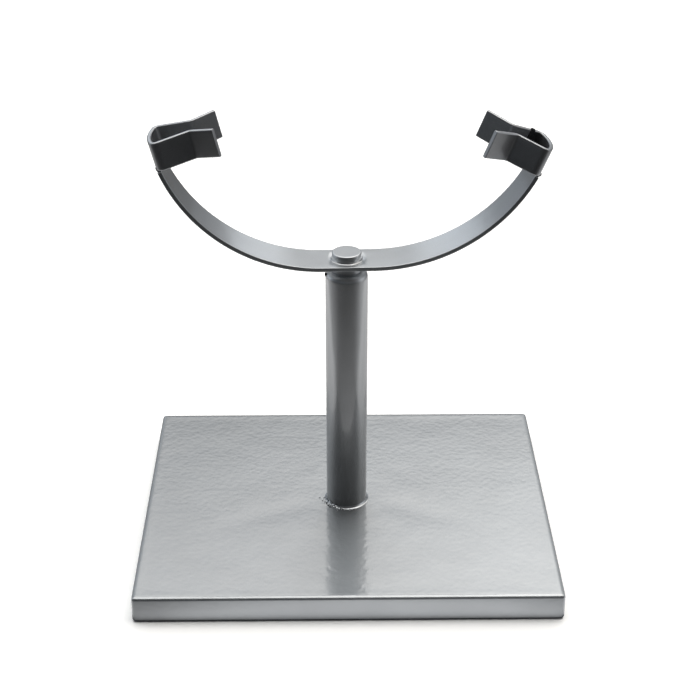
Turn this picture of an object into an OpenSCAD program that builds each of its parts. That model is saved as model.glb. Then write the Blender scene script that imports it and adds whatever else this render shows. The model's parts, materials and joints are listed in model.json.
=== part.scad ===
// Soldering iron stand: a plate, a bored post, and a yoke that swivels on a spindle and
// carries a spring clip on each end. +X is right, +Y is back, +Z is up, and the origin is the
// middle of the plate's underside. Millimetres.

/* [Base plate] */
// Width of the plate, left to right
plate_w = 150; // [120:1:220]
// Depth of the plate, front to back
plate_d = 125; // [90:1:180]
// Thickness of the plate
plate_t = 10; // [5:0.5:16]
// Radius of the plate's upright corners
plate_corner_r = 1.5; // [0.5:0.1:6]

/* [Post] */
// Diameter of the post
post_d = 15; // [15:0.5:20]
// Length of the post, from the plate to its top
post_len = 95; // [60:1:140]
// Width of the rounded shoulder round the top of the post, measured inwards
shoulder_w = 2; // [0.5:0.1:2]
// Height of that shoulder
shoulder_h = 3; // [0.5:0.1:5]
// Depth of the bore that takes the spindle
bore_depth = 35; // [20:1:50]
// Leg of the weld round the foot of the post
post_weld_leg = 1.3; // [0.6:0.1:3]

/* [Spindle] */
// Diameter of the spindle
spindle_d = 10.4; // [8:0.1:10.6]
// Radial clearance between the spindle and its bore
spindle_clearance = 0.08; // [0.04:0.01:0.1]
// Gap between the top of the post and the strap, where the spindle's neck shows
neck_gap = 2.9; // [1:0.1:8]
// Height of the spindle's end above the strap
spindle_stand = 2.7; // [1.5:0.1:6]
// Bevel round the spindle's top end
spindle_bevel = 0.5; // [0.2:0.1:1]
// Leg of the weld between the spindle and the strap
spindle_weld_leg = 0.9; // [0.5:0.1:1.4]

/* [Yoke strap] */
// Width of the flat bar
strap_w = 15.5; // [13:0.5:20]
// Thickness of the flat bar
strap_t = 1.5; // [1:0.1:3]
// Flat length at the middle, left of the post's axis
left_flat = 8.5; // [8:0.5:15]
// Flat length at the middle, right of the post's axis
right_flat = 9.5; // [8:0.5:15]
// Inner bend radius of the left arm
left_bend_r = 57.5; // [50:0.5:70]
// Inner bend radius of the right arm
right_bend_r = 60.5; // [50:0.5:70]
// Angle that the left arm bends through
left_bend = 68.5; // [60:0.5:75]
// Angle that the right arm bends through
right_bend = 62.5; // [60:0.5:75]
// Turn of the yoke about the post as it stands, right end to the back
yoke_turn = 2.1; // [-10:0.1:10]

/* [Clips] */
// Thickness of the clip's spring strip
clip_t = 1.5; // [0.8:0.1:1.5]
// Height of the clip, along its grip
clip_h = 10; // [6:0.5:16]
// Inner radius of the bends beside the back
clip_corner_r = 1; // [0.5:0.1:1.5]
// Bend radius at the throat, on the outer side
clip_throat_r = 1.2; // [0.5:0.1:2]
// Width of the clip's rear half, from the middle of its back
clip_rear_half = 8.65; // [8:0.05:10]
// Width of the left clip's front half
left_front_half = 9; // [8:0.05:10]
// Width of the right clip's front half
right_front_half = 9.6; // [8:0.05:10]
// Inner radius of the left clip's bowed back
left_back_r = 23; // [16:0.5:40]
// Inner radius of the right clip's bowed back
right_back_r = 18; // [16:0.5:40]
// How far the middle of the left clip's back stands out from the strap's outer face
left_stand_out = 0.7; // [0:0.1:1.3]
// How far the middle of the right clip's back stands out from the strap's outer face
right_stand_out = 1.3; // [0:0.1:1.3]
// Distance from the left clip's back to its throat
left_throat_reach = 14.7; // [12:0.1:16]
// Distance from the right clip's back to its throat
right_throat_reach = 13.7; // [12:0.1:16]
// Opening of the left clip at its throat
left_throat = 8.1; // [6:0.1:10]
// Opening of the right clip at its throat
right_throat = 7.3; // [6:0.1:10]
// Angle that the left clip's lips flare outwards
left_flare = 29; // [20:1:45]
// Angle that the right clip's lips flare outwards
right_flare = 34; // [20:1:45]
// Reach of the left clip, from its back to the tips of its lips
left_reach = 22.7; // [20:0.1:26]
// Reach of the right clip, from its back to the tips of its lips
right_reach = 22.3; // [20:0.1:26]
// Lean of the left clip away from upright
left_lean = 14; // [10:1:30]
// Lean of the right clip away from upright
right_lean = 22; // [10:1:30]
// Gap at the seam between the strap's end and the clip, filled by weld
seam_gap = 0.9; // [0.7:0.1:2]

/* [Hidden] */
$fn = 96;
coat = "#9a9fa3";
coat_dark = "#7f8489";
// How far a drill runs past the face that it leaves
overshoot = 1;
// How far the seam of weld stands out of the strap's faces
seam_crown = 0.35;
// Angle that one flat stretch of a bend's outline covers, in the strap and in the clips
strap_facet = 2;
clip_facet = 6;
// Angle that one flat stretch of the post's shoulder covers
shoulder_facet = 7.5;

post_r = post_d / 2;
bore_r = spindle_d / 2 + spindle_clearance;
post_top = plate_t + post_len;
strap_under = post_top + neck_gap;
strap_top = strap_under + strap_t;
spindle_foot = post_top - bore_depth;
spindle_len = strap_top + spindle_stand - spindle_foot;

// Half the length of the seam of weld, which stays clear of the bends beside the clip's back
seam_half = clip_rear_half - clip_corner_r - clip_t;

// One arm of the yoke: [flat length, inner bend radius, bend angle]
left_arm = [left_flat, left_bend_r, left_bend];
right_arm = [right_flat, right_bend_r, right_bend];
// One clip: [lean, stand-out], and what its two halves share:
// [inner radius of the back, throat reach, throat opening, flare, reach]
left_place = [left_lean, left_stand_out];
right_place = [right_lean, right_stand_out];
left_shape = [left_back_r, left_throat_reach, left_throat, left_flare, left_reach];
right_shape = [right_back_r, right_throat_reach, right_throat, right_flare, right_reach];

// A point on the strap's end face, in the plane of the bend, seen from the front:
// into is the distance from the outer face towards the inner one
function strap_end(arm, into) =
    let(r = arm[1] + strap_t - into)
    [arm[0] + r * sin(arm[2]), strap_under + strap_t + arm[1] - r * cos(arm[2])];

// A point on the clip's bottom face, in the same plane: into is the distance inwards from
// where the strap's outer face would meet it
function clip_base(arm, lean, into) =
    strap_end(arm, 0) + seam_gap * [cos(arm[2]), sin(arm[2])] + into * [-cos(lean), sin(lean)];

// A point turned about the origin
function turned_point(p, angle) =
    [p[0] * cos(angle) - p[1] * sin(angle), p[0] * sin(angle) + p[1] * cos(angle)];

// The points along one face of a strip of thickness t, bent along a path of legs [length]
// and bends [inner radius, angle], where a positive angle turns to the left. The strip
// starts at the origin along +X, and its thickness lies on its left. The face is off = 0
// on the right and off = t on the left.
function strip_face(path, t, off, facet, i = 0, at = [0, 0], heading = 0) =
    i == len(path) ? [at + turned_point([0, off], heading)] :
    let(
        step = path[i],
        bends = len(step) == 2,
        angle = bends ? step[1] : 0,
        centre = angle > 0 ? step[0] + t : -step[0],
        count = bends ? ceil(abs(angle) / facet) : 1,
        r = centre - off,
        points = [for (k = [0 : count - 1])
            bends ? [r * sin(angle * k / count), centre - r * cos(angle * k / count)] : [0, off]],
        end = bends ? centre * [sin(angle), 1 - cos(angle)] : [step[0], 0]
    )
    concat(
        [for (p = points) at + turned_point(p, heading)],
        strip_face(path, t, off, facet, i + 1, at + turned_point(end, heading), heading + angle)
    );

// A strip of thickness t and width w, bent along such a path
module bent_strip(t, w, path, facet) {
    right = strip_face(path, t, 0, facet);
    left = strip_face(path, t, t, facet);
    linear_extrude(w)
        polygon(concat(right, [for (k = [len(left) - 1 : -1 : 0]) left[k]]));
}

// A fillet of weld round a bar of radius r that stands on a flat face, with a face that
// bulges a little past the straight line between its two legs
module weld_ring(r, leg) {
    belly = 0.6 * leg;
    rotate_extrude() polygon([[r, 0], [r + leg, 0], [r + belly, belly], [r, leg]]);
}

// One arm of the strap, from the post's axis to its end, towards +X
module strap_arm(arm) {
    translate([0, strap_w / 2, strap_under]) rotate([90, 0, 0])
        bent_strip(strap_t, strap_w, [[arm[0]], [arm[1], arm[2]]], strap_facet);
}

// Half of a clip, from the middle of its bowed back to the tip of one lip: the arm closes in
// from the bend beside the back to the throat, and the lip flares out from there
module clip_half(half_w, shape) {
    back_r = shape[0];
    throat_reach = shape[1];
    flare = shape[3];
    bow = asin((half_w - clip_corner_r - clip_t) / (back_r - clip_corner_r));
    corner_in = back_r + clip_t - (back_r - clip_corner_r) * cos(bow);
    close = atan((half_w - clip_t - shape[2] / 2) / (throat_reach - corner_in));
    arm_run = throat_reach - corner_in - (clip_corner_r + clip_t + clip_throat_r) * sin(close);
    lip_run = shape[4] - throat_reach - clip_throat_r * sin(flare);
    bent_strip(clip_t, clip_h, [
        [back_r, bow],
        [clip_corner_r, 90 + close - bow],
        [arm_run / cos(close)],
        [clip_throat_r, -close - flare],
        [lip_run / cos(flare)]
    ], clip_facet);
}

// A clip at the end of the arm that reaches towards +X, facing back towards the post
module placed_clip(arm, place, shape, front_half) {
    base = clip_base(arm, place[0], -place[1]);
    translate([base[0], 0, base[1]]) rotate([0, place[0], 0]) rotate([0, 0, 90]) {
        clip_half(clip_rear_half, shape);
        mirror([1, 0, 0]) clip_half(front_half, shape);
    }
}

// The seam of weld between the strap's end and the clip's bottom face
module placed_seam(arm, place) {
    lean = place[0];
    shift = place[1] / 2;
    out = [cos(lean), -sin(lean)];
    outer = [strap_end(arm, 0), clip_base(arm, lean, -shift)];
    inner = [strap_end(arm, strap_t), clip_base(arm, lean, clip_t - shift)];
    outer_mid = (outer[0] + outer[1]) / 2 + seam_crown * out;
    inner_mid = (inner[0] + inner[1]) / 2 - seam_crown * out;
    translate([0, seam_half, 0]) rotate([90, 0, 0]) linear_extrude(2 * seam_half)
        polygon([outer[0], outer_mid, outer[1], inner[1], inner_mid, inner[0]]);
}

// Everything on the yoke stands turned by yoke_turn about the post's axis
module turned() {
    rotate([0, 0, yoke_turn]) children();
}

module base_plate() {
    across = [plate_w / 2 - plate_corner_r, plate_d / 2 - plate_corner_r];
    color(coat) linear_extrude(plate_t) {
        square([plate_w, 2 * across[1]], center = true);
        square([2 * across[0], plate_d], center = true);
        for (sx = [-1, 1], sy = [-1, 1])
            translate([sx * across[0], sy * across[1]]) circle(plate_corner_r);
    }
}

module post() {
    shoulder = [for (a = [0 : shoulder_facet : 90])
        [post_r - shoulder_w * (1 - cos(a)), post_len - shoulder_h * (1 - sin(a))]];
    color(coat_dark) translate([0, 0, plate_t]) rotate_extrude() polygon(concat(
        [[0, 0], [post_r, 0]], shoulder,
        [[bore_r, post_len], [bore_r, post_len - bore_depth], [0, post_len - bore_depth]]
    ));
}

module post_weld() {
    color(coat) translate([0, 0, plate_t]) weld_ring(post_r, post_weld_leg);
}

module spindle() {
    r = spindle_d / 2;
    color(coat) translate([0, 0, spindle_foot]) rotate_extrude() polygon([
        [0, 0], [r - spindle_bevel, 0], [r, spindle_bevel], [r, spindle_len - spindle_bevel],
        [r - spindle_bevel, spindle_len], [0, spindle_len]
    ]);
}

module yoke_strap() {
    color(coat) turned() difference() {
        union() {
            strap_arm(right_arm);
            mirror([1, 0, 0]) strap_arm(left_arm);
        }
        translate([0, 0, strap_under - overshoot])
            cylinder(d = spindle_d, h = strap_t + 2 * overshoot);
    }
}

module spindle_weld() {
    color(coat) translate([0, 0, strap_top]) weld_ring(spindle_d / 2, spindle_weld_leg);
}

module left_clip() {
    color(coat_dark) turned() mirror([1, 0, 0])
        placed_clip(left_arm, left_place, left_shape, left_front_half);
}

module right_clip() {
    color(coat_dark) turned() placed_clip(right_arm, right_place, right_shape, right_front_half);
}

module left_clip_weld() {
    color(coat) turned() mirror([1, 0, 0]) placed_seam(left_arm, left_place);
}

module right_clip_weld() {
    color(coat) turned() placed_seam(right_arm, right_place);
}

base_plate();
post();
post_weld();
spindle();
yoke_strap();
spindle_weld();
left_clip();
right_clip();
left_clip_weld();
right_clip_weld();
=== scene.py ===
"""Soldering iron stand: the coated metal skins, welds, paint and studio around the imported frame."""

import json
import math
import random

import bmesh
import bpy
from mathutils import Matrix, Vector, noise

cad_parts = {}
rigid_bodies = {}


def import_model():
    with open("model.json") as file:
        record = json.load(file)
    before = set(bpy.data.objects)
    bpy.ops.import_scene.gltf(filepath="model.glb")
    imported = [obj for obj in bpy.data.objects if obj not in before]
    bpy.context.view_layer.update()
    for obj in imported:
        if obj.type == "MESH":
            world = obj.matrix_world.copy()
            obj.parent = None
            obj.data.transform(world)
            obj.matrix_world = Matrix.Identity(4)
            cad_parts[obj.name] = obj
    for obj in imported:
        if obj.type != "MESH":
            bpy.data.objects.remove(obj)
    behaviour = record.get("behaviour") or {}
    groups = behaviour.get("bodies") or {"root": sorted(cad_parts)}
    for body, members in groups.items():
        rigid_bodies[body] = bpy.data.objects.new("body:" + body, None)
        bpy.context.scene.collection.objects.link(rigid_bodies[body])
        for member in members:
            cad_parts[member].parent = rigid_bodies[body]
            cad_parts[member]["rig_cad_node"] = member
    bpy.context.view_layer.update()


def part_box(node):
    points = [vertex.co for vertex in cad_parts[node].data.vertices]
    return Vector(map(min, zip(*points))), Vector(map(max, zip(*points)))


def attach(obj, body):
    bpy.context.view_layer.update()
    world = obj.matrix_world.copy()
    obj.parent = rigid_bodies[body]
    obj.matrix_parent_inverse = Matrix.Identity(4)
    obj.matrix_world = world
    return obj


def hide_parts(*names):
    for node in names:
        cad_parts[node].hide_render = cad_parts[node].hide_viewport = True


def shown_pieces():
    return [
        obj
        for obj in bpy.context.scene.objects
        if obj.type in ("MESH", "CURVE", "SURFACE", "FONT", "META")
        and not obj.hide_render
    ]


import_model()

MM = 0.001
Z = Vector((0, 0, 1))

# ---------------------------------------------------------------- sizes, in metres
PLATE_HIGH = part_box("base_plate")[1]
POST_LOW, POST_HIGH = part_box("post")
PIN_LOW, PIN_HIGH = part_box("spindle")
PLATE_TOP = PLATE_HIGH.z
POST_TOP = POST_HIGH.z
STRAP_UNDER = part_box("yoke_strap")[0].z

POST_R = 7.5 * MM
POST_FOOT_R = 0.15 * MM
SHOULDER_W, SHOULDER_H = 2.0 * MM, 2.5 * MM     # rounding of the post's top edge
BORE_R = 5.28 * MM
BORE_EDGE_R, BORE_FLOOR_R = 0.08 * MM, 0.1 * MM
BORE_FLOOR = PIN_LOW.z       # the spindle's foot rests on it
PIN_R = 5.2 * MM
PIN_FOOT_R, PIN_TOP_R = 0.4 * MM, 0.55 * MM

STRAP_W = 15.5 * MM
STRAP_T = 1.5 * MM
STRAP_TOP = STRAP_UNDER + STRAP_T
# Each arm of the yoke: flat length, inner bend radius, bend angle
ARMS = {
    "left": (8.5 * MM, 57.5 * MM, math.radians(68.5)),
    "right": (9.5 * MM, 60.5 * MM, math.radians(62.5)),
}
YOKE_TURN = math.radians(2.1)

CLIP_T = 1.5 * MM
CLIP_H = 10 * MM
CLIP_CORNER_R = 1.0 * MM
CLIP_THROAT_R = 1.2 * MM
CLIP_REAR_HALF = 8.65 * MM
CLIPS = {
    "left": {
        "lean": math.radians(14), "stand_out": 0.7 * MM, "front_half": 9.0 * MM, "back_r": 23 * MM,
        "throat_reach": 14.7 * MM, "throat": 8.1 * MM, "flare": math.radians(29), "reach": 22.7 * MM,
    },
    "right": {
        "lean": math.radians(22), "stand_out": 1.3 * MM, "front_half": 9.6 * MM, "back_r": 18 * MM,
        "throat_reach": 13.7 * MM, "throat": 7.3 * MM, "flare": math.radians(34), "reach": 22.3 * MM,
    },
}
SEAM_GAP = 0.9 * MM      # between the strap's end and the clip
SEAM_HALF = CLIP_REAR_HALF - CLIP_CORNER_R - CLIP_T

# How far the coat rounds the edges of the flat bar, of the clips, and of their cut ends
STRAP_EDGE_R = 0.22 * MM
CLIP_EDGE_R = 0.48 * MM
CUT_EDGE_R = 0.18 * MM


# ---------------------------------------------------------------- mesh helpers
def add_piece(name, points, faces, material, body, node=None):
    """One closed skin as a new piece that rides on a body and may stand for a CAD node."""
    mesh = bpy.data.meshes.new(name)
    mesh.from_pydata([tuple(p) for p in points], [], faces)
    mesh.validate()
    mesh.update()
    mesh.materials.append(material)
    mesh.polygons.foreach_set("use_smooth", [True] * len(mesh.polygons))
    piece = bpy.data.objects.new(name, mesh)
    bpy.context.scene.collection.objects.link(piece)
    shading = piece.modifiers.new("face_weighted_normals", "WEIGHTED_NORMAL")
    shading.weight = 100
    shading.keep_sharp = True
    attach(piece, body)
    if node:
        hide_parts(node)
    return piece


def smooth_step(low, high, value):
    t = min(1.0, max(0.0, (value - low) / (high - low)))
    return t * t * (3 - 2 * t)


def fillet_arc(centre, start, end, segments):
    """Points on the arc about centre from start to end, all in one plane."""
    first, last = start - centre, end - centre
    sweep = first.angle(last)
    if sweep < 1e-6:
        return [start, end]
    points = []
    for k in range(segments + 1):
        a = math.sin((1 - k / segments) * sweep) / math.sin(sweep)
        b = math.sin(k / segments * sweep) / math.sin(sweep)
        points.append(centre + first * a + last * b)
    return points


def rounded_profile(corners, segments=5):
    """A lathe profile through (radius, height, fillet) corners, each fillet as an arc."""
    points = []
    for i, (r, z, fillet) in enumerate(corners):
        here = Vector((r, z))
        if fillet == 0 or i in (0, len(corners) - 1):
            points.append(here)
            continue
        before = (Vector(corners[i - 1][:2]) - here).normalized()
        after = (Vector(corners[i + 1][:2]) - here).normalized()
        half = before.angle(after) / 2
        run = fillet / math.tan(half)
        centre = here + (before + after).normalized() * (fillet / math.sin(half))
        points += fillet_arc(centre, here + before * run, here + after * run, segments)
    return points


def lathe(profile, count):
    """Points and quads of a profile turned about the Z axis. It starts and ends on the axis."""
    points, faces = [], []
    inner = profile[1:-1]
    for r, z in inner:
        for k in range(count):
            a = math.tau * k / count
            points.append(Vector((r * math.cos(a), r * math.sin(a), z)))
    for i in range(len(inner) - 1):
        for k in range(count):
            n = (k + 1) % count
            faces.append((i * count + k, i * count + n, (i + 1) * count + n, (i + 1) * count + k))
    first, last = len(points), len(points) + 1
    points.append(Vector((0, 0, profile[0][1])))
    points.append(Vector((0, 0, profile[-1][1])))
    top = (len(inner) - 1) * count
    for k in range(count):
        n = (k + 1) % count
        faces.append((first, n, k))
        faces.append((last, top + k, top + n))
    return points, faces


def section_outline(width, thickness, radius, arc=4, across=6):
    """A rounded rectangle as (across, through) pairs, in four sides of across + 1 points and
    four corner arcs. It starts on the top face, and its underside is its third side."""
    half_w, half_t = width / 2 - radius, thickness / 2 - radius
    pairs = [(-half_w + 2 * half_w * k / across, thickness / 2) for k in range(across + 1)]
    for k in range(1, arc + 1):
        a = math.pi / 2 * (1 - k / arc)
        pairs.append((half_w + radius * math.cos(a), half_t + radius * math.sin(a)))
    for k in range(arc):
        a = -math.pi / 2 * k / arc
        pairs.append((half_w + radius * math.cos(a), -half_t + radius * math.sin(a)))
    pairs += [(half_w - 2 * half_w * k / across, -thickness / 2) for k in range(across + 1)]
    for k in range(1, arc + 1):
        a = -math.pi / 2 * (1 + k / arc)
        pairs.append((-half_w + radius * math.cos(a), -half_t + radius * math.sin(a)))
    for k in range(arc):
        a = math.pi - math.pi / 2 * k / arc
        pairs.append((-half_w + radius * math.cos(a), half_t + radius * math.sin(a)))
    return pairs


def walk(legs, step):
    """Centre line of a bent strip as (along, aside, heading): legs are (length,) or (radius, angle),
    where a positive angle turns to the left. It starts at the origin, heading along."""
    at, heading = Vector((0, 0)), 0.0
    stations = [(at.copy(), heading)]
    for leg in legs:
        forward = Vector((math.cos(heading), math.sin(heading)))
        left = Vector((-forward.y, forward.x))
        if len(leg) == 1:
            count = max(1, round(leg[0] / step))
            for k in range(1, count + 1):
                stations.append((at + forward * (leg[0] * k / count), heading))
            at = at + forward * leg[0]
            continue
        radius, angle = leg
        side = 1 if angle > 0 else -1
        count = max(5, math.ceil(abs(angle) * radius / step))
        centre = at + left * (radius * side)
        for k in range(1, count + 1):
            turned = heading + angle * k / count
            spoke = Vector((math.sin(turned), -math.cos(turned))) * (radius * side)
            stations.append((centre + spoke, turned))
        heading += angle
        at = stations[-1][0].copy()
    return stations


def end_rings(stations, radius, count=3):
    """The stations of a strip with its two ends drawn in over a rounded edge: (point, heading, inset)."""
    rings = []
    for k in range(count, 0, -1):
        a = math.pi / 2 * k / count
        point, heading = stations[0]
        forward = Vector((math.cos(heading), math.sin(heading)))
        rings.append((point + forward * (radius * (1 - math.sin(a))), heading, radius * (1 - math.cos(a))))
    first, last = stations[0], stations[-1]
    out = Vector((math.cos(first[1]), math.sin(first[1])))
    rings.append((first[0] + out * radius, first[1], 0.0))
    rings += [(p, h, 0.0) for p, h in stations[1:-1]]
    out = Vector((math.cos(last[1]), math.sin(last[1])))
    rings.append((last[0] - out * radius, last[1], 0.0))
    for k in range(1, count + 1):
        a = math.pi / 2 * k / count
        short = radius * (1 - math.sin(a))
        rings.append((last[0] - out * short, last[1], radius * (1 - math.cos(a))))
    return rings


def bridge(faces, first, second):
    """Quads between two closed loops of point numbers, which have the same length."""
    for k in range(len(first)):
        n = (k + 1) % len(first)
        faces.append((first[k], second[k], second[n], first[n]))


def skin_rings(rings, size, skip=None):
    """Quads between rings of the same size, less those that skip names, and a face over each end."""
    faces = []
    for i in range(rings - 1):
        for k in range(size):
            if skip and skip(i, k):
                continue
            n = (k + 1) % size
            faces.append((i * size + k, i * size + n, (i + 1) * size + n, (i + 1) * size + k))
    faces.append(tuple(reversed(range(size))))
    faces.append(tuple(range((rings - 1) * size, rings * size)))
    return faces


def turned(point):
    """A point of the yoke, turned about the post's axis as the yoke stands."""
    return Matrix.Rotation(YOKE_TURN, 3, "Z") @ point


# ---------------------------------------------------------------- materials
def new_material(name):
    material = bpy.data.materials.new(name)
    material.use_nodes = True
    return material, material.node_tree.nodes, material.node_tree.links


def noise_node(nodes, links, source, scale, detail, roughness):
    texture = nodes.new("ShaderNodeTexNoise")
    texture.inputs["Scale"].default_value = scale
    texture.inputs["Detail"].default_value = detail
    texture.inputs["Roughness"].default_value = roughness
    links.new(source, texture.inputs["Vector"])
    return texture.outputs["Fac"]


def grey(value):
    return (value, value, value)


def ramp(nodes, links, source, stops):
    """A colour ramp through (place, tone) stops, in which a tone is a colour or a grey's value."""
    node = nodes.new("ShaderNodeValToRGB")
    elements = node.color_ramp.elements
    while len(elements) > len(stops):
        elements.remove(elements[-1])
    while len(elements) < len(stops):
        elements.new(0.5)
    for element, (place, tone) in zip(elements, stops):
        element.position = place
        element.color = (*(tone if isinstance(tone, tuple) else grey(tone)), 1)
    links.new(source, node.inputs["Fac"])
    return node.outputs["Color"]


def map_range(nodes, links, source, low, high, to_low, to_high):
    node = nodes.new("ShaderNodeMapRange")
    node.inputs["From Min"].default_value = low
    node.inputs["From Max"].default_value = high
    node.inputs["To Min"].default_value = to_low
    node.inputs["To Max"].default_value = to_high
    links.new(source, node.inputs["Value"])
    return node.outputs["Result"]


def mix_colour(nodes, links, share, first, second, blend="MIX"):
    node = nodes.new("ShaderNodeMix")
    node.data_type = "RGBA"
    node.blend_type = blend
    for socket, value in ((node.inputs[0], share), (node.inputs[6], first), (node.inputs[7], second)):
        if isinstance(value, bpy.types.NodeSocket):
            links.new(value, socket)
        elif isinstance(value, (int, float)):
            socket.default_value = value
        else:
            socket.default_value = (*value, 1)
    return node.outputs[2]


def bump(nodes, links, height, distance, strength=1.0, normal=None):
    node = nodes.new("ShaderNodeBump")
    node.inputs["Distance"].default_value = distance
    node.inputs["Strength"].default_value = strength
    links.new(height, node.inputs["Height"])
    if normal is not None:
        links.new(normal, node.inputs["Normal"])
    return node.outputs["Normal"]


def math_node(nodes, links, operation, first, second=None):
    node = nodes.new("ShaderNodeMath")
    node.operation = operation
    for socket, value in zip(node.inputs, (first, second)):
        if isinstance(value, bpy.types.NodeSocket):
            links.new(value, socket)
        elif value is not None:
            socket.default_value = value
    return node.outputs[0]


def split_axes(nodes, links, source):
    node = nodes.new("ShaderNodeSeparateXYZ")
    links.new(source, node.inputs["Vector"])
    return node.outputs["X"], node.outputs["Y"], node.outputs["Z"]


def flat_distance(nodes, links, x, y):
    across = math_node(nodes, links, "MULTIPLY", x, x)
    along = math_node(nodes, links, "MULTIPLY", y, y)
    return math_node(nodes, links, "SQRT", math_node(nodes, links, "ADD", across, along))


def distance_along(nodes, links, place, direction):
    node = nodes.new("ShaderNodeVectorMath")
    node.operation = "DOT_PRODUCT"
    node.inputs[1].default_value = direction
    links.new(place, node.inputs[0])
    return node.outputs["Value"]


# ---------------------------------------------------------------- paint
# One silver powder coat in lit and shaded copies: the plain tone is the coat's own, the brighter tone is a
# painted highlight for the yoke, spindle and foot weld, the dimmer tone is painted shade for the clips,
# and the darker tone is painted shade for the plate
SILVER = (0.470, 0.480, 0.492)
LIT_SILVER = (0.512, 0.530, 0.550)
SHADED_SILVER = (0.385, 0.393, 0.408)
DEEPER_SHADED_SILVER = (0.300, 0.318, 0.335)
# Painted shade for the pits in the foot weld
PIT_SHADE_DARK = (0.02, 0.02, 0.022)
BURNT_DARK, BURNT_PALE = (0.008, 0.008, 0.009), (0.045, 0.045, 0.048)

# The coat's noises, as repeats per metre: clouds in its tone, metal flakes, smears in its gloss
CLOUDS, FLAKES, SMEARS = 24, 5200, 60
CLOUD_TONES, FLAKE_TONES = (0.93, 1.05), (0.93, 1.06)
# Its waves grow calmer from the second of these places to the first, and swells lie below them
CALM_FRONT, CALM_BACK = -30 * MM, 5 * MM
SWELL_LENGTH, SWELL_DEPTH = 13 * MM, 0.11 * MM
CLEAR_ROUGH, CLEAR_IOR = 0.10, 1.6

# Painted light and shade on the coat: a direction, from where to where along it, and the strength of the
# tone there.
# It is painted shade at the plate's back left and down the post towards its foot, and a painted highlight
# on the post's shoulder
PLATE_PAINTED_LIGHT = ((0.6, -1, 0), (-80 * MM, 80 * MM), [(0.0, 0.68), (1.0, 1.16)])
POST_PAINTED_SHADE_AND_HIGHLIGHT = ((0, 0, 1), (10 * MM, 105 * MM), [(0.0, 0.60), (0.40, 0.98), (0.972, 1.0), (0.982, 1.38)])

# The foot weld's rough part, with the painted shade of pits in it, faces this way from the post
ROUGH_ANGLE = math.radians(222)
ROUGH_SIDE = (math.cos(ROUGH_ANGLE), math.sin(ROUGH_ANGLE), 0)
PITTED = (5.0 * MM, 6.8 * MM)
PITS, BURNT_GRIT = 1700, 1600


def powder_coat(name, tone, peel, depth, stretch=(1, 1, 1), rough=(0.37, 0.43),
                clear_rough=CLEAR_ROUGH, clear_ior=CLEAR_IOR, calm=1.0, painted_light=None):
    """Silver powder coat: a soft metallic body under a clear skin that lies in shallow waves,
    with peel and depth as their length and height in mm, calmer towards the stand's front by the
    share given. Its painted light and shade darken and lighten the tone along a direction."""
    material, nodes, links = new_material(name)
    shader = nodes["Principled BSDF"]
    place = nodes.new("ShaderNodeTexCoord").outputs["Object"]
    mapping = nodes.new("ShaderNodeMapping")
    mapping.inputs["Scale"].default_value = stretch
    links.new(place, mapping.inputs["Vector"])
    stretched = mapping.outputs["Vector"]

    cloud = noise_node(nodes, links, place, CLOUDS, 3, 0.5)
    deep, pale = (tuple(c * share for c in tone) for share in CLOUD_TONES)
    tint = ramp(nodes, links, cloud, [(0.30, deep), (0.70, pale)])
    flake = noise_node(nodes, links, place, FLAKES, 1, 0.5)
    sparkle = ramp(nodes, links, flake, [(0.30, FLAKE_TONES[0]), (0.72, FLAKE_TONES[1])])
    tint = mix_colour(nodes, links, 1.0, tint, sparkle, "MULTIPLY")
    # Painted light and shade: the tone is darkened and lightened along a direction
    if painted_light:
        direction, reach, stops = painted_light
        along = distance_along(nodes, links, place, direction)
        strength = ramp(nodes, links, map_range(nodes, links, along, *reach, 0, 1), stops)
        tint = mix_colour(nodes, links, 1.0, tint, strength, "MULTIPLY")
    links.new(tint, shader.inputs["Base Color"])

    smear = noise_node(nodes, links, stretched, SMEARS, 4, 0.6)
    links.new(map_range(nodes, links, smear, 0.3, 0.7, *rough), shader.inputs["Roughness"])

    orange_peel = noise_node(nodes, links, stretched, 1 / (peel * MM), 1.5, 0.4)
    waves = bump(nodes, links, orange_peel, depth * MM)
    y = split_axes(nodes, links, place)[1]
    strength = map_range(nodes, links, y, CALM_FRONT, CALM_BACK, calm, 1.0)
    links.new(strength, waves.node.inputs["Strength"])
    swell = noise_node(nodes, links, place, 1 / SWELL_LENGTH, 1, 0.4)
    waves = bump(nodes, links, swell, SWELL_DEPTH, 1.0, waves)
    links.new(waves, shader.inputs["Normal"])
    links.new(waves, shader.inputs["Coat Normal"])

    shader.inputs["Metallic"].default_value = 1.0
    shader.inputs["Coat Weight"].default_value = 1.0
    shader.inputs["Coat Roughness"].default_value = clear_rough
    shader.inputs["Coat IOR"].default_value = clear_ior
    return material


def add_painted_pit_shade(material):
    """Painted shade: dark spots in the coat of the foot's weld stand for the shade inside its pits, on its
    rough front left part.
    """
    nodes, links = material.node_tree.nodes, material.node_tree.links
    shader = nodes["Principled BSDF"]
    place = nodes.new("ShaderNodeTexCoord").outputs["Object"]
    coat = shader.inputs["Base Color"].links[0].from_socket
    pits = map_range(nodes, links, noise_node(nodes, links, place, PITS, 2, 0.5), 0.50, 0.56, 0, 1)
    along = distance_along(nodes, links, place, ROUGH_SIDE)
    rough_part = map_range(nodes, links, along, *PITTED, 0, 1)
    share = math_node(nodes, links, "MULTIPLY", pits, rough_part)
    links.new(mix_colour(nodes, links, share, coat, PIT_SHADE_DARK), shader.inputs["Base Color"])
    links.new(math_node(nodes, links, "SUBTRACT", 1.0, share), shader.inputs["Coat Weight"])


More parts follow.
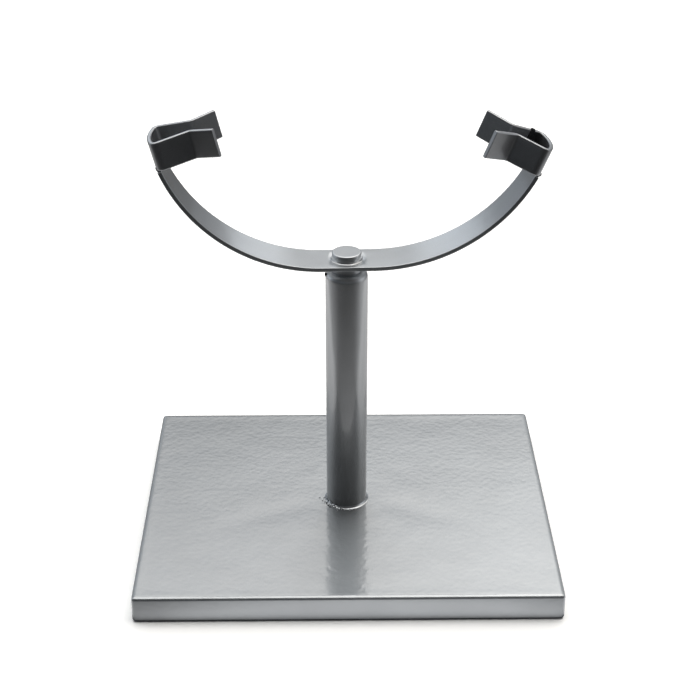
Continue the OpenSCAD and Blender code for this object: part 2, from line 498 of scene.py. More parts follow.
def burnt_coat():
    """Dark, rough coat over a lump of spatter."""
    material, nodes, links = new_material("burnt_paint")
    shader = nodes["Principled BSDF"]
    place = nodes.new("ShaderNodeTexCoord").outputs["Object"]
    grit = noise_node(nodes, links, place, BURNT_GRIT, 4, 0.65)
    colour = ramp(nodes, links, grit, [(0.35, BURNT_DARK), (0.80, BURNT_PALE)])
    links.new(colour, shader.inputs["Base Color"])
    links.new(map_range(nodes, links, grit, 0.3, 0.7, 0.5, 0.75), shader.inputs["Roughness"])
    links.new(bump(nodes, links, grit, 0.10 * MM), shader.inputs["Normal"])
    shader.inputs["Metallic"].default_value = 0.3
    return material


# The tones below are one silver in lit and shaded copies: painted highlight and painted shade
plate_paint = powder_coat("plate_paint", DEEPER_SHADED_SILVER, peel=1.9, depth=0.07, rough=(0.52, 0.58),
                          clear_rough=0.13, clear_ior=2.2, calm=0.8, painted_light=PLATE_PAINTED_LIGHT)
post_paint = powder_coat("post_paint", SILVER, peel=5.0, depth=0.06, stretch=(1, 1, 0.35),
                         painted_light=POST_PAINTED_SHADE_AND_HIGHLIGHT)
yoke_paint = powder_coat("yoke_paint", LIT_SILVER, peel=4.5, depth=0.05)
clip_paint = powder_coat("clip_paint", SHADED_SILVER, peel=4.0, depth=0.04)
spindle_paint = powder_coat("spindle_paint", LIT_SILVER, peel=3.0, depth=0.03)
weld_paint = powder_coat("weld_paint", SILVER, peel=1.6, depth=0.04, rough=(0.30, 0.38))
foot_weld_paint = powder_coat("foot_weld_paint", LIT_SILVER, peel=1.6, depth=0.04,
                              rough=(0.26, 0.34))
add_painted_pit_shade(foot_weld_paint)
burnt_paint = burnt_coat()


# ---------------------------------------------------------------- base plate
PLATE_EDGE_R = 1.05 * MM     # rounding of the plate's top and bottom edges by the coat
PLATE_CORNER_R = 1.5 * MM
ROLL_WIDTH = 1.6 * MM        # the coat rolls down to the edges over this width
ROLL_DROP = 0.10 * MM
FAT_EDGE = 0.05 * MM         # and stands up in a low ridge just inside them
FAT_EDGE_IN, FAT_EDGE_WIDTH = 2.2 * MM, 1.7 * MM
TOP_SWELL = 0.014 * MM
RIPPLE = 0.09 * MM           # round the foot, at this distance and over this width
RIPPLE_AT, RIPPLE_WIDTH = 2.6 * POST_R, 14 * MM
# Two shallow dips, left by the weld's heat, run out and forward from the foot
DIP_DEPTH, DIP_WIDTH = 0.17 * MM, 6 * MM
DIP_START, DIP_SLANT = 1.8 * MM, 0.43
DIP_FADE = (22 * MM, 58 * MM)
CORNER_CELLS = 3
CORNER_CELL, WIDEST_CELL = 0.6 * MM, 2.2 * MM
CELL_GROWTH = 1.3


def edge_stations(half):
    """Grid lines from -half to half, packed close together at both ends."""
    steps, run, cell = [], 0.0, CORNER_CELL
    while run < half:
        steps.append(run)
        if len(steps) > CORNER_CELLS:
            cell = min(cell * CELL_GROWTH, WIDEST_CELL)
        run += cell
    side = [half - s for s in steps if half - s > 2 * CORNER_CELL]
    return [-s for s in side] + [0.0] + side[::-1]


def plate_height(x, y):
    """How far the plate's coated top stands above its flat top, less the roll to its edges."""
    half_w, half_d = PLATE_HIGH.x, PLATE_HIGH.y
    inset = min(half_w - abs(x), half_d - abs(y))
    roll = -ROLL_DROP * (1 - smooth_step(0, ROLL_WIDTH, inset)) ** 1.5
    roll += FAT_EDGE * math.exp(-((inset - FAT_EDGE_IN) / FAT_EDGE_WIDTH) ** 2)
    spot = Vector((x, y, 0))
    clear_of_post = smooth_step(POST_R, 2.2 * POST_R, spot.length)
    swell = noise.noise(spot * 90) * TOP_SWELL
    near = math.exp(-((spot.length - RIPPLE_AT) / RIPPLE_WIDTH) ** 2)
    ripple = noise.noise(Vector((spot.length * 130, math.atan2(y, x) * 1.3, 4.0))) * RIPPLE
    out = abs(x)
    dip_line = DIP_START - DIP_SLANT * out
    dip = -DIP_DEPTH * math.exp(-((y - dip_line) / DIP_WIDTH) ** 2)
    dip *= smooth_step(POST_R, 2.6 * POST_R, out) * (1 - smooth_step(DIP_FADE[0], DIP_FADE[1], out))
    return roll + dip + (swell + ripple * near) * clear_of_post


def make_base_plate():
    half_w, half_d = PLATE_HIGH.x, PLATE_HIGH.y
    flat = PLATE_EDGE_R + 0.25 * MM
    xs, ys = edge_stations(half_w - flat), edge_stations(half_d - flat)
    nx, ny = len(xs), len(ys)
    points, faces = [], []

    def grid(z_of, flip):
        start = len(points)
        points.extend(Vector((x, y, z_of(x, y))) for y in ys for x in xs)
        for j in range(ny - 1):
            for i in range(nx - 1):
                a = start + j * nx + i
                quad = (a, a + 1, a + nx + 1, a + nx)
                faces.append(tuple(reversed(quad)) if flip else quad)
        rim = [start + i for i in range(nx)]
        rim += [start + j * nx + nx - 1 for j in range(1, ny)]
        rim += [start + (ny - 1) * nx + i for i in range(nx - 2, -1, -1)]
        rim += [start + j * nx for j in range(ny - 2, 0, -1)]
        return rim

    top = grid(lambda x, y: PLATE_TOP + plate_height(x, y), False)
    bottom = grid(lambda x, y: 0.0, True)
    reach = CORNER_CELLS * CORNER_CELL
    inner = Vector((xs[-1] - reach, ys[-1] - reach))
    centre = Vector((half_w - PLATE_CORNER_R, half_d - PLATE_CORNER_R))

    def outline(inset):
        """The plate's outline drawn in by inset, one point for each point of the grid's rim."""
        ring = []
        for index in top:
            x, y = points[index].x, points[index].y
            over = Vector((max(0, abs(x) - inner.x), max(0, abs(y) - inner.y)))
            away = over.normalized()
            cx = min(abs(x), centre.x) if over.y > 0 and over.x <= 1e-9 else centre.x
            cy = min(abs(y), centre.y) if over.x > 0 and over.y <= 1e-9 else centre.y
            r = PLATE_CORNER_R - inset
            ring.append(Vector((math.copysign(cx + away.x * r, x), math.copysign(cy + away.y * r, y))))
        return ring

    arc = 5
    levels = []
    for k in range(arc + 1):
        a = math.pi / 2 * k / arc
        inset = PLATE_EDGE_R * (1 - math.sin(a))
        levels.append((inset, PLATE_TOP - ROLL_DROP - PLATE_EDGE_R * (1 - math.cos(a))))
    for k in range(1, 6):
        levels.append((0.0, levels[arc][1] + (PLATE_EDGE_R - levels[arc][1]) * k / 6))
    for k in range(arc + 1):
        a = math.pi / 2 * k / arc
        levels.append((PLATE_EDGE_R * (1 - math.cos(a)), PLATE_EDGE_R * (1 - math.sin(a))))
    previous = top
    for inset, z in levels:
        ring = []
        for p in outline(inset):
            ring.append(len(points))
            points.append(Vector((p.x, p.y, z)))
        bridge(faces, previous, ring)
        previous = ring
    bridge(faces, previous, bottom)
    return add_piece("plate_coated", points, faces, plate_paint, "base", "base_plate")


# ---------------------------------------------------------------- post and spindle
def split_run(profile, longest):
    """The profile with its long straight runs cut into shorter ones."""
    out = [profile[0]]
    for a, b in zip(profile, profile[1:]):
        count = max(1, math.ceil((b - a).length / longest))
        out += [a.lerp(b, k / count) for k in range(1, count + 1)]
    return out


def make_post():
    foot = POST_LOW.z
    shoulder = []
    for k in range(13):
        a = math.pi / 2 * k / 12
        inset, drop_z = SHOULDER_W * (1 - math.cos(a)), SHOULDER_H * (1 - math.sin(a))
        shoulder.append(Vector((POST_R - inset, POST_TOP - drop_z)))
    foot_edge = rounded_profile([(0, foot, 0), (POST_R, foot, POST_FOOT_R), (POST_R, POST_TOP, 0)])
    bore = rounded_profile([
        (POST_R - SHOULDER_W, POST_TOP, 0), (BORE_R, POST_TOP, BORE_EDGE_R),
        (BORE_R, BORE_FLOOR, BORE_FLOOR_R), (0, BORE_FLOOR, 0),
    ])
    profile = foot_edge[:-1] + shoulder + bore[1:]
    points, faces = lathe(split_run(profile, 8 * MM), 96)
    return add_piece("post_bar", points, faces, post_paint, "base", "post")


def make_spindle():
    foot, top = PIN_LOW.z, PIN_HIGH.z
    profile = rounded_profile([
        (0, foot, 0), (PIN_R, foot, PIN_FOOT_R), (PIN_R, top, PIN_TOP_R), (0, top, 0),
    ], 6)
    points, faces = lathe(split_run(profile, 4 * MM), 96)
    return add_piece("spindle_pin", points, faces, spindle_paint, "yoke", "spindle")


def drop(points, faces, place, size, squash, seed):
    """A bead of weld spatter, a lumpy ball sunk into the face that it stuck to."""
    rows, columns = 6, 10
    start = len(points)
    offset = Vector((seed * 3.1, seed * 1.7, seed * 0.9))
    for i in range(1, rows):
        lat = math.pi * i / rows
        for k in range(columns):
            lon = math.tau * k / columns
            out = Vector((math.sin(lat) * math.cos(lon), math.sin(lat) * math.sin(lon), math.cos(lat)))
            lump = 1 + 0.25 * noise.noise(out * 1.4 + offset)
            points.append(place + Vector((out.x, out.y, out.z * squash)) * (size * lump))
    for i in range(rows - 2):
        for k in range(columns):
            n = (k + 1) % columns
            a, b = start + i * columns, start + (i + 1) * columns
            faces.append((a + k, b + k, b + n, a + n))
    points.append(place + Z * (size * squash))
    points.append(place - Z * (size * squash))
    top, low = len(points) - 2, len(points) - 1
    end = start + (rows - 2) * columns
    for k in range(columns):
        n = (k + 1) % columns
        faces.append((top, start + k, start + n))
        faces.append((low, end + n, end + k))


# A bead of weld: how far it laps into the bar and the flat below it, and its root's depth in the bar
WELD_LAP, WELD_SINK, WELD_ROOT = 0.04 * MM, 0.03 * MM, 0.35 * MM
# How far its face dips from a straight line (0) towards a quarter circle (1)
WELD_HOLLOW = 0.7
FOOT_WELD_LEG, PIN_WELD_LEG = 0.95 * MM, 0.68 * MM
ROUGH_FROM, ROUGH_TO = math.radians(180), math.radians(262)
SPATTER_DROPS = 34
SPATTER_SIZES = (0.14, 0.32)     # least and most, in mm


def bead_ring(radius, base_z, leg_at, count, arc=8):
    """A fillet of weld round an upright bar: leg_at(angle, share) gives its leg there."""
    points, faces = [], []
    size = arc + 2
    base_z -= WELD_SINK
    for k in range(count):
        a = math.tau * k / count
        out = Vector((math.cos(a), math.sin(a), 0))
        for j in range(arc + 1):
            share = j / arc
            leg = leg_at(a, share)
            bend = math.pi / 2 * share
            away = (1 - share) * (1 - WELD_HOLLOW) + (1 - math.sin(bend)) * WELD_HOLLOW
            up = share * (1 - WELD_HOLLOW) + (1 - math.cos(bend)) * WELD_HOLLOW
            points.append(out * (radius - WELD_LAP + away * leg) + Z * (base_z + up * leg))
        points.append(out * (radius - WELD_ROOT) + Z * base_z)
    for k in range(count):
        n = (k + 1) % count
        for j in range(size):
            m = (j + 1) % size
            faces.append((k * size + j, n * size + j, n * size + m, k * size + m))
    return points, faces


def make_post_weld():
    def roughness(a):
        rise = smooth_step(ROUGH_FROM - 0.2, ROUGH_FROM + 0.2, a)
        return rise * (1 - smooth_step(ROUGH_TO - 0.2, ROUGH_TO + 0.1, a))

    def leg_at(a, share):
        spot = Vector((math.cos(a), math.sin(a), share * 0.25))
        slow = 0.06 * noise.noise(spot * 3.0)
        fine = 0.55 * noise.noise(spot * 17.0) + 0.30 * noise.noise(spot * 41.0)
        return FOOT_WELD_LEG * (1 + slow + fine * roughness(a))

    points, faces = bead_ring(POST_R, PLATE_TOP, leg_at, 240)
    draw = random.Random(7)
    for index in range(SPATTER_DROPS):
        a = draw.gauss((ROUGH_FROM + ROUGH_TO) / 2, 0.36)
        r = POST_R + FOOT_WELD_LEG * (0.5 + abs(draw.gauss(0, 0.9)))
        size = draw.uniform(*SPATTER_SIZES) * MM
        place = Vector((r * math.cos(a), r * math.sin(a), PLATE_TOP + size * 0.2))
        drop(points, faces, place, size, 0.75, index)
    return add_piece("post_weld_bead", points, faces, foot_weld_paint, "base", "post_weld")


def make_spindle_weld():
    def leg_at(a, share):
        spot = Vector((math.cos(a), math.sin(a), share * 0.3))
        return PIN_WELD_LEG * (1 + 0.06 * noise.noise(spot * 4))

    points, faces = bead_ring(PIN_R, STRAP_TOP, leg_at, 160)
    return add_piece("spindle_weld_bead", points, faces, weld_paint, "yoke", "spindle_weld")


BURR_PLACE = Vector((-POST_R + 0.12 * MM, -0.8 * MM, POST_TOP - 1.25 * MM))
BURR_SIZE = 0.36 * MM


def make_paint_burr():
    """A drip of coat that hangs on the post's left side, on its shoulder."""
    points, faces = [], []
    drop(points, faces, BURR_PLACE, BURR_SIZE, 2.2, 3)
    return add_piece("post_burr", points, faces, burnt_paint, "base")


# ---------------------------------------------------------------- yoke strap
def strap_stations(step):
    """The strap's centre line from its left end to its right, as (x from the axis, height, heading)."""
    sides = {}
    for side, (flat, bend_r, bend) in ARMS.items():
        sides[side] = walk([(flat,), (bend_r + STRAP_T / 2, bend)], step)
    left = [(Vector((-p.x, p.y)), -h) for p, h in reversed(sides["left"])]
    return left[:-1] + sides["right"]


def make_yoke_strap():
    arc, across = 4, 8
    centre = Vector((0, STRAP_UNDER + STRAP_T / 2))
    rings = end_rings(strap_stations(2 * MM), CUT_EDGE_R)
    points = []
    flat_rings = []
    for index, (point, heading, inset) in enumerate(rings):
        up = Vector((-math.sin(heading), math.cos(heading)))
        width, thickness = STRAP_W - 2 * inset, STRAP_T - 2 * inset
        outline = section_outline(width, thickness, STRAP_EDGE_R - inset, arc, across)
        if abs(heading) < 1e-9:
            flat_rings.append(index)
        for y, through in outline:
            spot = centre + point + up * through
            points.append(turned(Vector((spot.x, y, spot.y))))
    size = len(outline)
    first, last = flat_rings[0], flat_rings[-1]
    under = across + 2 * arc + 1

    def in_hole(i, k):
        return first <= i < last and (k < across or under <= k < under + across)

    faces = skin_rings(len(rings), size, in_hole)

    def close_to_hole(face, flip):
        """Fills one flat face of the strap in to the spindle's hole, and gives the hole's rim."""
        near, far = face[0], face[-1]
        rim = [first * size + k for k in face]
        rim += [i * size + far for i in range(first + 1, last + 1)]
        rim += [last * size + k for k in reversed(face[:-1])]
        rim += [i * size + near for i in range(last - 1, first, -1)]
        outer = rim
        for share in (0.5, 1.0):
            inner = []
            for index in rim:
                p = points[index]
                away = Vector((p.x, p.y, 0)).normalized() * PIN_R
                inner.append(len(points))
                points.append(p.lerp(Vector((away.x, away.y, p.z)), share))
            pair = (inner, outer) if flip else (outer, inner)
            bridge(faces, *pair)
            outer = inner
        return outer

    top_rim = close_to_hole(range(0, across + 1), False)
    under_rim = close_to_hole(range(under + across, under - 1, -1), True)
    bridge(faces, top_rim, under_rim)
    return add_piece("strap_bar", points, faces, yoke_paint, "yoke", "yoke_strap")


# ---------------------------------------------------------------- clips
def strap_end(side, into):
    """A point on the strap's end, (out from the axis, height): into is measured from its outer face."""
    flat, bend_r, bend = ARMS[side]
    r = bend_r + STRAP_T - into
    return Vector((flat + r * math.sin(bend), STRAP_TOP + bend_r - r * math.cos(bend)))


def clip_base(side, into):
    """A point on the clip's bottom face, (out from the axis, height): into is measured inwards
    from where the strap's outer face would meet it."""
    bend, lean = ARMS[side][2], CLIPS[side]["lean"]
    seam = Vector((math.cos(bend), math.sin(bend))) * SEAM_GAP
    return strap_end(side, 0) + seam + Vector((-math.cos(lean), math.sin(lean))) * into


def clip_point(side, inward, aside, up):
    """A point of a clip: inward from its back's outermost face, aside towards the back of the
    stand, and up its grip."""
    lean = CLIPS[side]["lean"]
    base = clip_base(side, -CLIPS[side]["stand_out"])
    out = base.x - math.cos(lean) * inward + math.sin(lean) * up
    height = base.y + math.sin(lean) * inward + math.cos(lean) * up
    sign = 1 if side == "right" else -1
    return turned(Vector((sign * out, aside, height)))


def clip_half_line(side, half_w, step):
    """Centre line of half a clip, from the middle of its bowed back to the tip of a lip, as
    (aside, inward) and heading."""
    shape = CLIPS[side]
    back_r, throat_reach, flare = shape["back_r"], shape["throat_reach"], shape["flare"]
    bow = math.asin((half_w - CLIP_CORNER_R - CLIP_T) / (back_r - CLIP_CORNER_R))
    corner_in = back_r + CLIP_T - (back_r - CLIP_CORNER_R) * math.cos(bow)
    close = math.atan((half_w - CLIP_T - shape["throat"] / 2) / (throat_reach - corner_in))
    bends = CLIP_CORNER_R + CLIP_T + CLIP_THROAT_R
    arm_run = throat_reach - corner_in - bends * math.sin(close)
    lip_run = shape["reach"] - throat_reach - CLIP_THROAT_R * math.sin(flare)
    return walk([
        (back_r + CLIP_T / 2, bow),
        (CLIP_CORNER_R + CLIP_T / 2, math.pi / 2 + close - bow),
        (arm_run / math.cos(close),),
        (CLIP_THROAT_R + CLIP_T / 2, -close - flare),
        (lip_run / math.cos(flare),),
    ], step)


def make_clip(side):
    rear = clip_half_line(side, CLIP_REAR_HALF, 0.7 * MM)
    front = clip_half_line(side, CLIPS[side]["front_half"], 0.7 * MM)
    mirrored = [(Vector((-p.x, p.y)), -h) for p, h in reversed(front)]
    rings = end_rings(mirrored[:-1] + rear, CUT_EDGE_R)
    points = []
    for point, heading, inset in rings:
        left = Vector((-math.sin(heading), math.cos(heading)))
        height, thickness = CLIP_H - 2 * inset, CLIP_T - 2 * inset
        outline = section_outline(height, thickness, CLIP_EDGE_R - inset, 4, 5)
        for up, through in outline:
            spot = point + left * through
            points.append(clip_point(side, spot.y + CLIP_T / 2, spot.x, up + CLIP_H / 2))
    faces = skin_rings(len(rings), len(outline))
    name, node = f"{side}_clip_strip", f"{side}_clip"
    return add_piece(name, points, faces, clip_paint, "yoke", node)


SEAM_LAP = 0.45 * MM         # how far the seam's weld runs onto the strap and onto the clip
SEAM_SINK = 0.05 * MM
# Its crown, and the beads along it, in mm, and how fast the beads follow each other
SEAM_CROWN, SEAM_BEADS, BEAD_TURNS = 0.30, 0.10, 3900


def make_clip_weld(side):
    """The seam of weld across the strap's end and the middle of the clip's back."""
    bend, lean = ARMS[side][2], CLIPS[side]["lean"]
    shift = CLIPS[side]["stand_out"] / 2
    lap = Vector((math.cos(bend), math.sin(bend))) * SEAM_LAP
    up = Vector((math.sin(lean), math.cos(lean))) * SEAM_LAP
    outer = (strap_end(side, 0) - lap, clip_base(side, -shift) + up)
    inner = (strap_end(side, STRAP_T) - lap, clip_base(side, CLIP_T - shift) + up)
    out = (outer[0] - inner[0]).normalized()
    sign = 1 if side == "right" else -1
    rows, arc = 33, 6
    points = []
    for row in range(rows):
        share = 2 * row / (rows - 1) - 1
        aside = SEAM_HALF * share
        fade = math.sqrt(max(0.0, 1 - abs(share) ** 6)) * 0.9 + 0.1
        lumpy = 0.16 * noise.noise(Vector((aside * 900, 3.0 * sign, 0)))
        lump = 0.9 * math.exp(-((share + 0.90) / 0.09) ** 2) if side == "right" else 0.0
        beads = SEAM_BEADS * math.sin(aside * BEAD_TURNS)
        crown = (SEAM_CROWN + beads + lumpy + lump) * MM * fade
        for first, second, way in ((outer[0], outer[1], out), (inner[1], inner[0], -out)):
            for k in range(arc):
                t = k / (arc - 1)
                flat = first.lerp(second, t)
                spot = flat + way * (crown * math.sin(math.pi * t) - SEAM_SINK)
                points.append(turned(Vector((sign * spot.x, aside, spot.y))))
    faces = skin_rings(rows, 2 * arc)
    name, node = f"{side}_clip_weld_bead", f"{side}_clip_weld"
    return add_piece(name, points, faces, weld_paint, "yoke", node)


# The burnt patch starts where the strip has turned this far in the clip's back corner and ends this
# far inwards on the rear arm. Its coat and grit stand up, and its lower skin is sunk in the strip
SCAR_FROM_TURN, SCAR_TO = math.radians(20), 6.8 * MM
SCAR_PROUD, SCAR_GRIT, SCAR_SINK = 0.02 * MM, 0.05 * MM, 0.08 * MM
SCAR_LUMPS = ((-0.5, 0.62), (0.3, 0.66), (0.0, 0.5))     # along the arm, and size, in mm


def make_clip_scar():
    """Burnt coat on the inside of the right clip's rear arm, and the lump above it."""
    side, columns, rows = "right", 18, 14
    line = clip_half_line(side, CLIP_REAR_HALF, 0.35 * MM)
    arm = [(p, h) for p, h in line if p.y < SCAR_TO and h > SCAR_FROM_TURN]
    points, faces = [], []
    for face in (1, 0):
        for i in range(columns + 1):
            point, heading = arm[round((len(arm) - 1) * i / columns)]
            left = Vector((-math.sin(heading), math.cos(heading)))
            ragged = 1.2 * MM * noise.noise(Vector((i * 0.5, 7.0, 0.0))) * i / columns
            low, high = 1.2 * MM + 3.0 * MM * (i / columns) ** 2 + ragged, CLIP_H - 0.35 * MM
            for j in range(rows + 1):
                up = low + (high - low) * j / rows
                grit = SCAR_GRIT * (0.5 + noise.noise(Vector((i * 0.9, j * 0.9, 2.0))))
                proud = CLIP_T / 2 + (SCAR_PROUD + grit if face else -SCAR_SINK)
                spot = point + left * proud
                points.append(clip_point(side, spot.y + CLIP_T / 2, spot.x, up))
    stride = rows + 1
    back = (columns + 1) * stride
    for i in range(columns):
        for j in range(rows):
            a = i * stride + j
            quad = (a, a + 1, a + stride + 1, a + stride)
            faces.append(quad)
            faces.append(tuple(k + back for k in reversed(quad)))
    rim = list(range(rows)) + [i * stride + rows for i in range(columns)]
    rim += [columns * stride + j for j in range(rows, 0, -1)]
    rim += [i * stride for i in range(columns, 0, -1)]
    bridge(faces, rim, [index + back for index in rim])
    point, heading = arm[round((len(arm) - 1) * 0.86)]
    left = Vector((-math.sin(heading), math.cos(heading)))
    forward = Vector((math.cos(heading), math.sin(heading)))
    for index, (along, size) in enumerate(SCAR_LUMPS):
        spot = point + forward * (along * MM) + left * (0.35 * MM)
        place = clip_point(side, spot.y + CLIP_T / 2, spot.x, CLIP_H - 0.1 * MM)
        drop(points, faces, place, size * MM, 1.1, index + 11)
    return add_piece("right_clip_scar", points, faces, burnt_paint, "yoke")


# ---------------------------------------------------------------- assembling
make_base_plate()
make_post()
make_post_weld()
make_paint_burr()
make_spindle()
make_yoke_strap()
make_spindle_weld()
for name in ("left", "right"):
    make_clip(name)
    make_clip_weld(name)
make_clip_scar()


def outward_faces():
    """Every skin's faces turned to look outwards."""
    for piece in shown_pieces():
        if "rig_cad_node" in piece:
            continue
        skin = bmesh.new()
        skin.from_mesh(piece.data)
        bmesh.ops.recalc_face_normals(skin, faces=skin.faces)
        skin.to_mesh(piece.data)
        skin.free()


outward_faces()


# ---------------------------------------------------------------- studio
FLOOR_REACH = 6.0
FLOOR_SINK = 0.02 * MM
FLOOR_GREY = 0.8
# What shows of the floor in the metal: a painted pool of light, by distance from its middle, with a
# soft painted shadow where the plate stands on it
POOL = (0.008, 0.08)
POOL_SQUEEZE = (0.79, 0.45)      # how slowly the pool fades sideways and backwards
POOL_REACH = 0.80
POOL_FADE = [
    (0.000, 0.60), (0.145, 0.70), (0.191, 1.35), (0.206, 0.65), (0.216, 0.36), (0.250, 0.24),
    (0.290, 0.16), (0.338, 0.09), (0.413, 0.045), (0.463, 0.030), (0.55, 0.02), (1.00, 0.02),
]
# The painted contact shadow: how far it reaches, and how it fades
CONTACT_SHADOW_REACH = 7 * MM
CONTACT_SHADOW_FADE = [(0.0, 0.01), (0.08, 0.04), (0.20, 0.25), (0.36, 0.62), (0.55, 0.88), (0.8, 1.0)]
SEEN_WHITE = 1.35        # lifts the camera's view of the floor, so that it reads as white

# The soft light all round, by the direction that it comes from: from straight ahead (0) past
# the sides (0.5) to straight behind (1), with its darkest part a little left of the front
AROUND_LEAN = 0.20
AROUND = [(0.28, 0.060), (0.40, 0.17), (0.50, 0.46), (0.65, 0.44), (0.85, 0.16), (1.0, 0.12)]
FRONT_FLOOR, FRONT_SKY = 0.004, 0.064
AROUND_HEIGHT = [(0.0, 1.0), (0.22, 0.95), (0.45, 0.45), (1.0, 0.45)]   # and how it thins out upwards
AROUND_LIFT = 2.0


def light_around(nodes, links, x, y, front):
    """The soft light that comes from the side of the stand on which (x, y) lies."""
    away = math_node(nodes, links, "MAXIMUM", flat_distance(nodes, links, x, y), 0.001)
    leaning = math_node(nodes, links, "MULTIPLY", x, AROUND_LEAN)
    leaning = math_node(nodes, links, "ADD", leaning, y)
    bearing = math_node(nodes, links, "DIVIDE", leaning, away)
    turn = map_range(nodes, links, bearing, -1, 1, 0, 1)
    return ramp(nodes, links, turn, [(0.0, front), (0.22, front)] + AROUND)


def make_floor():
    """A pale floor that runs out of sight. In reflections only a painted pool of light near the stand
    shows, with a painted shadow at the plate's foot.
    """
    corners = [
        (-FLOOR_REACH, -FLOOR_REACH, 0), (FLOOR_REACH, -FLOOR_REACH, 0),
        (FLOOR_REACH, FLOOR_REACH, 0), (-FLOOR_REACH, FLOOR_REACH, 0),
    ]
    mesh = bpy.data.meshes.new("studio_floor")
    mesh.from_pydata(corners, [], [(0, 1, 2, 3)])
    floor = bpy.data.objects.new("studio_floor", mesh)
    bpy.context.scene.collection.objects.link(floor)
    floor.location.z = -FLOOR_SINK
    material, nodes, links = new_material("floor_white")
    shader = nodes["Principled BSDF"]
    shader.inputs["Roughness"].default_value = 0.9
    shader.inputs["Specular IOR Level"].default_value = 0.0
    place = nodes.new("ShaderNodeTexCoord").outputs["Object"]
    x, y = split_axes(nodes, links, place)[:2]
    aside = math_node(nodes, links, "SUBTRACT", x, POOL[0])
    aside = math_node(nodes, links, "MULTIPLY", aside, POOL_SQUEEZE[0])
    behind = math_node(nodes, links, "SUBTRACT", y, POOL[1])
    slow = math_node(nodes, links, "MULTIPLY", behind, POOL_SQUEEZE[1])
    front = math_node(nodes, links, "MULTIPLY", behind, -1.0)
    depth = math_node(nodes, links, "MAXIMUM", slow, front)
    away = flat_distance(nodes, links, aside, depth)
    pool = ramp(nodes, links, math_node(nodes, links, "DIVIDE", away, POOL_REACH), POOL_FADE)
    around = light_around(nodes, links, x, y, FRONT_FLOOR)
    pool = mix_colour(nodes, links, 1.0, pool, around, "LIGHTEN")

    past_side = math_node(nodes, links, "SUBTRACT", math_node(nodes, links, "ABSOLUTE", x), PLATE_HIGH.x)
    past_front = math_node(nodes, links, "SUBTRACT", math_node(nodes, links, "ABSOLUTE", y), PLATE_HIGH.y)
    past = math_node(nodes, links, "MAXIMUM", past_side, past_front)
    # Painted shadow: the floor's glow in reflections darkens close to the plate's outline
    contact_shadow = ramp(nodes, links, math_node(nodes, links, "DIVIDE", past, CONTACT_SHADOW_REACH), CONTACT_SHADOW_FADE)
    in_metal = mix_colour(nodes, links, 1.0, pool, contact_shadow, "MULTIPLY")

    path = nodes.new("ShaderNodeLightPath")
    plain = mix_colour(nodes, links, path.outputs["Is Camera Ray"], grey(FLOOR_GREY), grey(SEEN_WHITE))
    matt = mix_colour(nodes, links, path.outputs["Is Glossy Ray"], plain, grey(0))
    links.new(matt, shader.inputs["Base Color"])
    links.new(in_metal, shader.inputs["Emission Color"])
    links.new(path.outputs["Is Glossy Ray"], shader.inputs["Emission Strength"])
    mesh.materials.append(material)


# The big light behind and above, by height: its lower edge, where the plate's back half sees
# it, then its body, then its bright middle straight overhead
KEY = [(0.38, 0.0), (0.43, 0.20), (0.48, 0.70), (0.54, 1.30), (0.66, 1.90), (0.80, 1.1), (0.92, 2.8)]
# and across, from the left (0) to the right (1)
KEY_WIDTH = [
    (0.0, 0.35), (0.17, 0.45), (0.30, 0.80), (0.43, 0.84),
    (0.57, 1.16), (0.70, 1.05), (0.83, 0.45), (1.0, 0.35),
]
KEY_FRONT = (-0.24, -0.10)       # it fades out between these, just in front of straight overhead

# Two smaller lights low behind, left and right: how they rise and fall upwards and sideways
WING_HEIGHT = [(0.16, 0.0), (0.24, 1.0), (0.38, 1.0), (0.46, 0.0)]
WING_ASIDE = [(0.11, 0.0), (0.19, 1.0), (0.34, 1.0), (0.50, 0.0)]
WING_LIGHT = 0.9

# The light's tint from left to right, and from low to high
LEFT_TINT, RIGHT_TINT = (0.95, 0.98, 1.005), (1.06, 1.04, 1.01)
LOW_TINT, HIGH_TINT = (0.93, 0.985, 1.05), (1.015, 1.0, 0.972)
WHITE = grey(1.0)


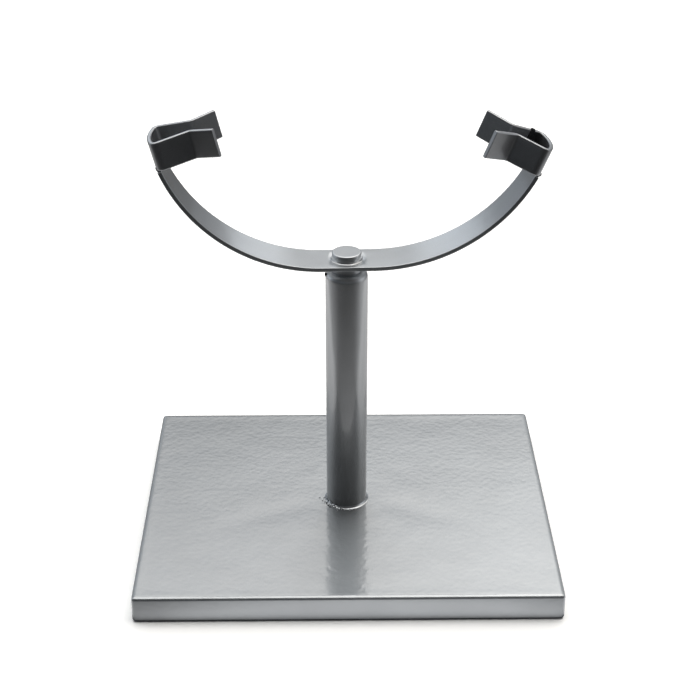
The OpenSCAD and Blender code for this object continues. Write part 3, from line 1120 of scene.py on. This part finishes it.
def make_world():
    """White for the camera. For the metal, a big soft light behind and above, brightest straight
    overhead, over dim surroundings that are darkest in front."""
    world = bpy.data.worlds.new("studio")
    bpy.context.scene.world = world
    world.use_nodes = True
    nodes, links = world.node_tree.nodes, world.node_tree.links
    background = nodes["Background"]
    direction = nodes.new("ShaderNodeTexCoord").outputs["Generated"]
    x, y, z = split_axes(nodes, links, direction)

    def times(light, *others):
        for other in others:
            light = mix_colour(nodes, links, 1.0, light, other, "MULTIPLY")
        return light

    rim = light_around(nodes, links, x, y, FRONT_SKY)
    rim = times(rim, ramp(nodes, links, z, AROUND_HEIGHT), grey(AROUND_LIFT))
    past_overhead = map_range(nodes, links, y, *KEY_FRONT, 0, 1)
    behind = ramp(nodes, links, past_overhead, [(0.0, 0.0), (1.0, 1.0)])
    width = ramp(nodes, links, map_range(nodes, links, x, -1, 1, 0, 1), KEY_WIDTH)
    key = times(ramp(nodes, links, z, KEY), behind, width)
    lit = mix_colour(nodes, links, 1.0, rim, key, "ADD")
    aside = ramp(nodes, links, math_node(nodes, links, "ABSOLUTE", x), WING_ASIDE)
    wing = times(ramp(nodes, links, z, WING_HEIGHT), aside, behind, grey(WING_LIGHT))
    lit = mix_colour(nodes, links, 1.0, lit, wing, "ADD")
    lean = map_range(nodes, links, x, -0.6, 0.6, 0, 1)
    across_tint = ramp(nodes, links, lean, [(0.0, LEFT_TINT), (0.5, WHITE), (1.0, RIGHT_TINT)])
    height_tint = ramp(nodes, links, z, [(0.35, LOW_TINT), (0.62, HIGH_TINT)])
    metal_sees = times(lit, height_tint, across_tint)
    path = nodes.new("ShaderNodeLightPath")
    seen = mix_colour(nodes, links, path.outputs["Is Camera Ray"], metal_sees, WHITE)
    links.new(seen, background.inputs["Color"])
    background.inputs["Strength"].default_value = 1.0


# Fitted to the plate's edges, the post and the spindle's end
CAMERA_PLACE = Vector((-6.14, -498.28, 339.11)) * MM
PITCH, YAW, ROLL = math.radians(28.087), math.radians(0.845), math.radians(0.104)
LENS, SENSOR = 80.70, 36


def make_camera():
    """At the viewing angle of a person sitting at the bench: in front, a little left, well above."""
    data = bpy.data.cameras.new("camera")
    data.sensor_width = SENSOR
    data.lens = LENS
    data.clip_start, data.clip_end = 0.01, 20
    camera = bpy.data.objects.new("camera", data)
    bpy.context.scene.collection.objects.link(camera)
    level = math.cos(PITCH)
    forward = Vector((math.sin(YAW) * level, math.cos(YAW) * level, -math.sin(PITCH)))
    right = Vector((math.cos(YAW), -math.sin(YAW), 0))
    up = right.cross(forward)
    tilted_right = right * math.cos(ROLL) + up * math.sin(ROLL)
    tilted_up = up * math.cos(ROLL) - right * math.sin(ROLL)
    turn = Matrix((tilted_right, tilted_up, -forward)).transposed().to_4x4()
    camera.matrix_world = Matrix.Translation(CAMERA_PLACE) @ turn
    bpy.context.scene.camera = camera


make_floor()
make_world()
make_camera()
bpy.context.scene.view_settings.view_transform = "Standard"
